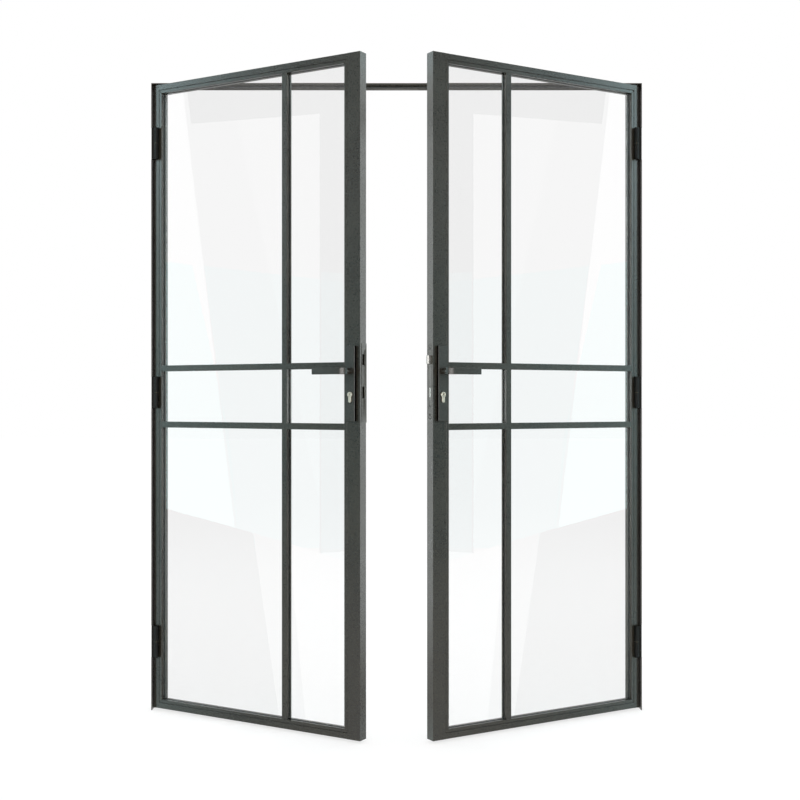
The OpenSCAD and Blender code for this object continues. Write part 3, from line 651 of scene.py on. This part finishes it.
for side, name in (("left", "left_handle_screws"), ("right", "right_lock_screws")):
    screws = []
    for low, high in screw_spots(name):
        middle = (low + high) / 2
        long_axis = max(range(3), key=lambda axis: high[axis] - low[axis])
        pattern = screw_pattern(high[long_axis] - low[long_axis])
        direction = (1, 0, 0) if long_axis == 0 else (0, 1, 0)
        head = Vector([high[axis] if axis == long_axis else middle[axis] for axis in range(3)])
        screws.append(screw_at(pattern, head, direction))
        bpy.data.objects.remove(pattern)
    group = joined(name, screws)
    on_leaf(group, side, "", name)
    bpy.data.objects.remove(group)
    print(name, "screws:", len(screws))

# %% [markdown]
# ## One helper for materials
# Colours are written as sRGB hex codes and turned linear, because the shader works in linear
# light. One function adds any node with its settings and its inputs, where an input may be a
# value or another node's output.

# %% Colour and node helpers
def linear(code):
    """An sRGB hex colour as the linear colour that a shader wants."""
    parts = [int(code[start:start + 2], 16) / 255 for start in (1, 3, 5)]
    return [part / 12.92 if part <= 0.04045 else ((part + 0.055) / 1.055) ** 2.4 for part in parts] + [1]


def node(material, kind, inputs=None, **settings):
    """Adds a shader node: settings are its properties, inputs its values or links."""
    made_node = material.node_tree.nodes.new("ShaderNode" + kind)
    for name, value in settings.items():
        setattr(made_node, name, value)
    for name, value in (inputs or {}).items():
        if isinstance(value, bpy.types.NodeSocket):
            material.node_tree.links.new(value, made_node.inputs[name])
        else:
            made_node.inputs[name].default_value = value
    return made_node


def blank(name):
    """A material with only its output, and that output."""
    material = bpy.data.materials.new(name)
    material.use_nodes = True
    material.node_tree.nodes.clear()
    return material, node(material, "OutputMaterial")


def stops(ramp, *pairs):
    """Sets a colour ramp's stops from (position, hex) pairs."""
    elements = ramp.color_ramp.elements
    while len(elements) < len(pairs):
        elements.new(0.5)
    for element, (position, code) in zip(elements, pairs):
        element.position = position
        element.color = linear(code)


# %% [markdown]
# ## Fine-textured powder coat
# Polyester powder is sprayed on and baked. It melts into a matt skin with a fine wrinkle,
# about 0.4 mm from crest to crest. Seen from metres away that wrinkle is a faint speckle, so
# it is drawn at 3.5 mm, coarse enough to show. A slow cloudiness comes from uneven film
# thickness. The plastic skin is a dielectric with a soft sheen at a grazing angle.

# %% Powder coat
GRAIN = 3.5 * MM      # drawn size of the wrinkle; the real one is 0.4 mm
CLOUD = 180 * MM      # uneven film thickness


def powder_coat(name, dark, light, roughness, gloss=0.28):
    """A dark coat with a speckle, slow clouds and a fine bump."""
    material, output = blank(name)
    spot = node(material, "TexCoord").outputs["Object"]
    speckle = node(material, "TexNoise", {"Vector": spot, "Scale": 1 / GRAIN, "Detail": 3.0})
    cloud = node(material, "TexNoise", {"Vector": spot, "Scale": 1 / CLOUD, "Detail": 2.0})
    both = node(material, "Math", {0: speckle.outputs[0], 1: 0.75}, operation="MULTIPLY")
    total = node(material, "Math", {0: cloud.outputs[0], 1: 0.25, 2: both.outputs[0]},
                 operation="MULTIPLY_ADD")
    colour = node(material, "ValToRGB", {"Fac": total.outputs[0]})
    stops(colour, (0.36, dark), (0.64, light))
    shine = node(material, "MapRange", {"Value": total.outputs[0], "From Min": 0.35, "From Max": 0.65,
                                        "To Min": roughness - 0.06, "To Max": roughness + 0.06})
    bump = node(material, "Bump", {"Height": speckle.outputs[0], "Strength": 0.28, "Distance": 0.12 * MM})
    skin = node(material, "BsdfPrincipled", {
        "Base Color": colour.outputs[0], "Roughness": shine.outputs[0], "Normal": bump.outputs[0],
        "IOR": 1.52, "Specular IOR Level": gloss})
    material.node_tree.links.new(skin.outputs[0], output.inputs[0])
    return material


finishes = {
    "frame_coat": powder_coat("textured_powder_coat_anthracite", "#15120c", "#302b20", 0.31),
    "hinge_coat": powder_coat("satin_powder_coat_on_hinges", "#050504", "#0d0d0b", 0.60, gloss=0.08),
    "handle_coat": powder_coat("textured_powder_coat_on_handles", "#131009", "#2b261d", 0.34, gloss=0.32),
    # Near-black painted shade for the long sides of the cover plates, where the stile shades them
    "plate_edge": powder_coat("matt_black_dye_on_plate_edges", "#020202", "#060606", 0.80, gloss=0.02),
    "lock_plate": powder_coat("satin_powder_coat_on_lock_plates", "#0e0c07", "#353023", 0.31),
}

# %% [markdown]
# ## Laminated glass
# Two clear float sheets on a clear film, with an index of 1.52. Float glass is flat to within
# a slow wave, some 300 mm long, that makes reflections swim a little, and wiping leaves faint
# smears of haze. Light from lamps must reach what is behind it, so for shadow rays the glass
# is plainly transparent, with the trace of green that iron in the sand gives.

# %% Laminated glass
WAVE = 320 * MM       # slow wave of the float process
SMEAR = 120 * MM      # haze left by wiping

glass, output = blank("clear_laminated_float_glass")
spot = node(glass, "TexCoord").outputs["Object"]
wave = node(glass, "TexNoise", {"Vector": spot, "Scale": 1 / WAVE, "Detail": 0.0})
smear = node(glass, "TexNoise", {"Vector": spot, "Scale": 1 / SMEAR, "Detail": 4.0})
haze = node(glass, "MapRange", {"Value": smear.outputs[0], "From Min": 0.45, "From Max": 0.8,
                                "To Min": 0.0, "To Max": 0.012})
ripple = node(glass, "Bump", {"Height": wave.outputs[0], "Strength": 0.1, "Distance": 0.1 * MM})
sheet = node(glass, "BsdfPrincipled", {
    "Base Color": linear("#f0f0f0"), "Roughness": haze.outputs[0], "Normal": ripple.outputs[0],
    "IOR": 1.52, "Transmission Weight": 1.0})
clear = node(glass, "BsdfTransparent", {"Color": linear("#eef8f6")})
path = node(glass, "LightPath")
mix = node(glass, "MixShader", {0: path.outputs["Is Shadow Ray"], 1: sheet.outputs[0], 2: clear.outputs[0]})
glass.node_tree.links.new(mix.outputs[0], output.inputs[0])
finishes["glass"] = glass

# %% [markdown]
# ## Rubber
# Extruded EPDM is matt, with a dusty bloom. The glazing tape is black and the frame's seal
# dark grey. The bloom is a soft noise about 6 mm across that lifts the colour slightly and
# dulls it.

# %% Extruded rubber
BLOOM = 6 * MM


def extruded_rubber(name, dark, light):
    """A matt rubber with patches of bloom."""
    material, output = blank(name)
    spot = node(material, "TexCoord").outputs["Object"]
    bloom = node(material, "TexNoise", {"Vector": spot, "Scale": 1 / BLOOM, "Detail": 5.0})
    colour = node(material, "ValToRGB", {"Fac": bloom.outputs[0]})
    stops(colour, (0.35, dark), (0.7, light))
    dull = node(material, "MapRange", {"Value": bloom.outputs[0], "To Min": 0.62, "To Max": 0.85})
    bump = node(material, "Bump", {"Height": bloom.outputs[0], "Strength": 0.2, "Distance": 0.1 * MM})
    skin = node(material, "BsdfPrincipled", {"Base Color": colour.outputs[0], "Normal": bump.outputs[0],
                                             "Roughness": dull.outputs[0], "IOR": 1.52})
    material.node_tree.links.new(skin.outputs[0], output.inputs[0])
    return material


finishes["rubber"] = extruded_rubber("black_epdm_rubber", "#101111", "#1e1f1f")
finishes["seal_rubber"] = extruded_rubber("grey_epdm_rubber", "#333331", "#464542")

# %% [markdown]
# ## Worked metals
# Bare metals show how they were worked: fine lines from brushing or turning, which run along
# one direction and are a fraction of a millimetre apart. They are a noise that is squeezed
# across the lines and stretched along them. The lines vary both the colour and the roughness.
# The screws and the zinc-plated parts have an even grain with no direction.

# %% Metals with a direction of working
HANDLING = 15 * MM         # patches left by handling


def worked_metal(name, dark, light, roughness, stretch, line=0.5 * MM):
    """A metal whose fine lines run along the axis that stretch makes long."""
    material, output = blank(name)
    spot = node(material, "TexCoord").outputs["Object"]
    lines = node(material, "Mapping", {"Vector": spot, "Scale": stretch})
    grain = node(material, "TexNoise", {"Vector": lines.outputs[0], "Scale": 1 / line, "Detail": 3.0})
    patch = node(material, "TexNoise", {"Vector": spot, "Scale": 1 / HANDLING, "Detail": 2.0})
    part = node(material, "Math", {0: patch.outputs[0], 1: 0.4}, operation="MULTIPLY")
    total = node(material, "Math", {0: grain.outputs[0], 1: 0.6, 2: part.outputs[0]},
                 operation="MULTIPLY_ADD")
    colour = node(material, "ValToRGB", {"Fac": total.outputs[0]})
    stops(colour, (0.35, dark), (0.65, light))
    shine = node(material, "MapRange", {"Value": total.outputs[0], "From Min": 0.35, "From Max": 0.65,
                                        "To Min": roughness - 0.07, "To Max": roughness + 0.07})
    bump = node(material, "Bump", {"Height": grain.outputs[0], "Strength": 0.15, "Distance": 0.03 * MM})
    skin = node(material, "BsdfPrincipled", {
        "Base Color": colour.outputs[0], "Metallic": 1.0, "Roughness": shine.outputs[0],
        "Normal": bump.outputs[0]})
    material.node_tree.links.new(skin.outputs[0], output.inputs[0])
    return material


UP = (1, 1, 0.04)          # lines that run upright
LEVEL = (0.15, 0.15, 1)    # lines that run level
finishes["nickel"] = worked_metal("satin_nickel_plate", "#847b70", "#9d9488", 0.42, UP)
finishes["steel"] = worked_metal("zinc_plated_steel", "#6a6966", "#83827f", 0.42, (1, 1, 1), line=2 * MM)
finishes["dark_screws"] = worked_metal("black_zinc_plated_screws", "#1c1c1b", "#2b2b2a", 0.45, (1, 1, 1))
finishes["bright_bolt"] = worked_metal("bright_nickel_bolt", "#6e6e6b", "#80807d", 0.30, LEVEL)
finishes["brass"] = worked_metal("oiled_brass", "#3a3528", "#4b4535", 0.42, LEVEL)
print("finishes:", sorted(finishes))

# %% [markdown]
# ## Put the finishes on
# Each new piece takes the finish of its slot. The nodes that no piece stands for, such as
# rods, cases, tapes and pins, keep their own shape and take a finish in the same way.

# %% Assign a finish to every piece and every node that stays
for obj, slot in made:
    obj.data.materials.clear()
    obj.data.materials.append(finishes[slot])

for name, obj in frame["nodes"].items():
    obj.data.materials.clear()
    obj.data.materials.append(finishes[slot_of[name]])

print("pieces made:", len(made), "nodes:", len(frame["nodes"]))

# %% [markdown]
# ## Painted shade on the edges of the cover plates
# The long edges of the cover plates look along the leaf, where the stile shades them, so they
# get black painted shade in place of the coat. That black draws a line down the stile. So the
# faces that look along the leaf get a second material.

# %% Paint black shade on the long edges of the cover plates
for side in SIDES:
    along = FROM_SHUT[side].to_3x3() @ Vector((1, 0, 0))
    for part in ("outer_plate", "inner_plate"):
        plate_mesh = bpy.data.objects[f"{side}_{part}_made"].data
        # The second material is the black painted shade
        plate_mesh.materials.append(finishes["plate_edge"])
        edge_faces = [face for face in plate_mesh.polygons if abs(face.normal.dot(along)) > 0.8]
        for face in edge_faces:
            face.material_index = 1
        print(side, part, "edge faces:", len(edge_faces))

# %% [markdown]
# ## Studio
# A white floor, lit from below like a light table, and a white surround, so that only the
# doors have any tone. The floor is matt paper with a faint mottle. Mirroring surfaces don't
# see it, because cards are hung for them to mirror instead.

# %% Floor and surround
FLOOR_SIZE = 60
FIBRE = 40 * MM       # mottle of the paper

floor = add("floor", bpy.ops.mesh.primitive_plane_add, size=FLOOR_SIZE, location=(0, 0, 0))
paper, output = blank("white_backlit_floor")
spot = node(paper, "TexCoord").outputs["Object"]
fibre = node(paper, "TexNoise", {"Vector": spot, "Scale": 1 / FIBRE, "Detail": 3.0})
colour = node(paper, "ValToRGB", {"Fac": fibre.outputs[0]})
stops(colour, (0.3, "#929292"), (0.7, "#969696"))
skin = node(paper, "BsdfPrincipled", {"Base Color": colour.outputs[0], "Roughness": 0.9,
                                      "Specular IOR Level": 0.0, "Emission Color": linear("#ffffff"),
                                      "Emission Strength": 0.71})
paper.node_tree.links.new(skin.outputs[0], output.inputs[0])
floor.data.materials.append(paper)
floor.visible_glossy = False

world = bpy.data.worlds.new("white_surround")
bpy.context.scene.world = world
world.use_nodes = True
world.node_tree.nodes["Background"].inputs["Color"].default_value = (1, 1, 1, 1)
world.node_tree.nodes["Background"].inputs["Strength"].default_value = 1.0

# %% [markdown]
# ## Lamps
# The light is even: a weak, wide lamp straight above, and a soft box behind each side that
# skims the free edge of a leaf. The boxes are a little cool, which the grey coat shows.

# %% Lamps
def lamp(name, kind, spot, target, power, **settings):
    """A lamp at a spot, facing a target."""
    bpy.ops.object.select_all(action="DESELECT")
    bpy.ops.object.light_add(type=kind, location=spot)
    light = bpy.context.object
    light.name = name
    light.data.energy = power
    for setting, value in settings.items():
        setattr(light.data, setting, value)
    light.rotation_euler = (Vector(target) - Vector(spot)).to_track_quat("-Z", "Y").to_euler()
    light.visible_camera = False
    return light


BOX_POWER = 115                # watts
BOX_X, BOX_Y, BOX_Z = 5, 2.6, 1.4
middle = Vector((0, 0, (LEAF_TOP + LEAF_FOOT) / 2))
lamp("overhead", "SUN", (0, 0, 6), (0, 0, 0), 0.15, angle=math.radians(60))
for turn, side in zip((-1, 1), SIDES):
    lamp(side + "_edge_box", "AREA", (turn * BOX_X, BOX_Y, BOX_Z), middle, BOX_POWER,
         shape="RECTANGLE", size=1.5, size_y=4.7, color=(0.93, 1, 1))

# %% [markdown]
# ## Cards for the glass to mirror
# What gives glass and satin metal their look is what they mirror, so a product studio sets up
# large cards: here a grey wall at each side, with brighter strips and a tinted lower half. A
# card lets what is behind it through by a tint, and adds a glow of its own. So a plain one is
# opaque, a brightening strip only glows, and a shade only tints. Each is given by its corners
# across and up on a wall six metres to the side, and both sides have the same set. A few more
# stand in front: a pair of strips for the bends of the levers, and dark and warm cards for the
# head. The cards show only in reflections.

# %% Reflection cards
WALL_X = 6
WALL_STEP = 0.01      # each card hangs this far in front of the last
FRONT_Y = 14


def card(name, corners, tint, glow, wall=WALL_X):
    """A flat card on both side walls, or on the one in front, seen only by mirroring surfaces."""
    material, output = blank(name)
    see_through = node(material, "BsdfTransparent", {"Color": list(tint) + [1]})
    shining = node(material, "Emission", {"Color": list(glow) + [1], "Strength": 1.0})
    both = node(material, "AddShader", {0: see_through.outputs[0], 1: shining.outputs[0]})
    material.node_tree.links.new(both.outputs[0], output.inputs[0])
    near = wall - WALL_STEP * len([obj for obj in bpy.data.objects if obj.name.startswith("left_card")])
    for turn, side in zip((-1, 1), SIDES):
        mesh = bpy.data.meshes.new(f"{side}_card_{name}")
        spots = [(turn * near, across, up) if wall == WALL_X else (turn * across, -near, up)
                 for across, up in corners]
        mesh.from_pydata(spots, [], [list(range(len(corners)))])
        mesh.materials.append(material)
        obj = bpy.data.objects.new(mesh.name, mesh)
        bpy.context.scene.collection.objects.link(obj)
        obj.visible_camera = obj.visible_diffuse = obj.visible_shadow = False
        obj.visible_transmission = obj.visible_volume_scatter = False


card("grey_wall", [(0.5, 7), (0.5, -4), (-8, -4), (-8, 7)], (0, 0, 0), (1.9, 1.9, 1.9))
card("bright_end", [(0.5, 7), (-1.4, 7), (-2.3, -0.2), (0.5, -0.2)], (1, 1, 1), (1.4, 1.4, 1.4))
card("high_blue_box", [(1.5, 5), (-1.5, 5), (-1.5, 2.4), (1.5, 2.4)], (1, 1, 1), (6.5, 10.5, 11.5))
card("slanted_strip", [(-1.4, 7), (-3.1, -0.2), (-8, -0.2), (-8, 7)], (1, 1, 1), (0.3, 0.3, 0.3))
card("dark_surround", [(-1.9, 3.2), (-3, 3.4), (-3, -0.2), (-8, -0.2), (-8, 7), (-1.4, 7)],
     (0.25, 0.25, 0.25), (0, 0, 0))
card("tinted_half", [(-2, 2.1), (-8, 1.75), (-8, -0.6), (-2.3, -0.1)], (0.75, 1, 1), (0, 0.08, 0.1))
card("tinted_end", [(0.5, 2.3), (-1.9, 2.1), (-2.2, 0.8), (-2.3, -0.1), (0.5, 0.3)], (0.75, 1, 1), (0, 0, 0))
card("tinted_strip", [(-3, 2.1), (-3.2, 2.1), (-3.2, -0.3), (-3, -0.2)], (1, 1, 1), (0.1, 0.5, 0.5))
card("low_grey", [(0.5, 0.9), (-2.4, 0), (-3, -4), (0.5, -4)], (0, 0, 0), (0.45, 0.45, 0.45))
card("low_light", [(-2.4, 0), (-2.7, -0.1), (-3.1, -4), (-3, -4)], (0, 0, 0), (1.5, 1.5, 1.5))
card("low_white", [(-2.7, -0.1), (-8, -1.9), (-8, -4), (-3.1, -4)], (0, 0, 0), (2.4, 2.4, 2.4))
card("middle_blue_box", [(1.5, 2.4), (-1.3, 2.4), (-1.3, 0), (1.5, 0)], (1, 1, 1), (1, 2.1, 2.4))
card("low_blue_box", [(1.5, 0), (-1.4, 0), (-1.4, -3), (1.5, -3)], (1, 1, 1), (4, 5.5, 5.7))
card("front_corner", [(-8, 4), (-14, 4), (-14, -1), (-8, -1)], (0, 0, 0), (9, 9, 9))
card("front_strip", [(0, 3), (10, 3), (10, -2), (0, -2)], (0, 0, 0), (12, 12, 12), wall=FRONT_Y)
card("front_shade", [(1.8, 9), (4, 9), (4, 4), (1.8, 4)], (0, 0, 0), (0.1, 0.1, 0.1), wall=FRONT_Y)
card("front_warm", [(0, 9), (1.8, 9), (1.8, 4), (0, 4)], (0, 0, 0), (5, 4.5, 4), wall=FRONT_Y)

# %% [markdown]
# ## Camera
# A level camera in front of the doors, on their centre line and at about half their height, so
# that all uprights stay parallel.

# %% Camera
CAMERA_AWAY = 4.229
CAMERA_UP = 1.0535

bpy.ops.object.select_all(action="DESELECT")
bpy.ops.object.camera_add(location=(0, -CAMERA_AWAY, CAMERA_UP), rotation=(math.pi / 2, 0, 0))
camera = bpy.context.object
camera.data.sensor_width = 36
camera.data.lens = 56.03
camera.data.shift_x = 0.0043
bpy.context.scene.camera = camera
bpy.context.scene.view_settings.view_transform = "Standard"
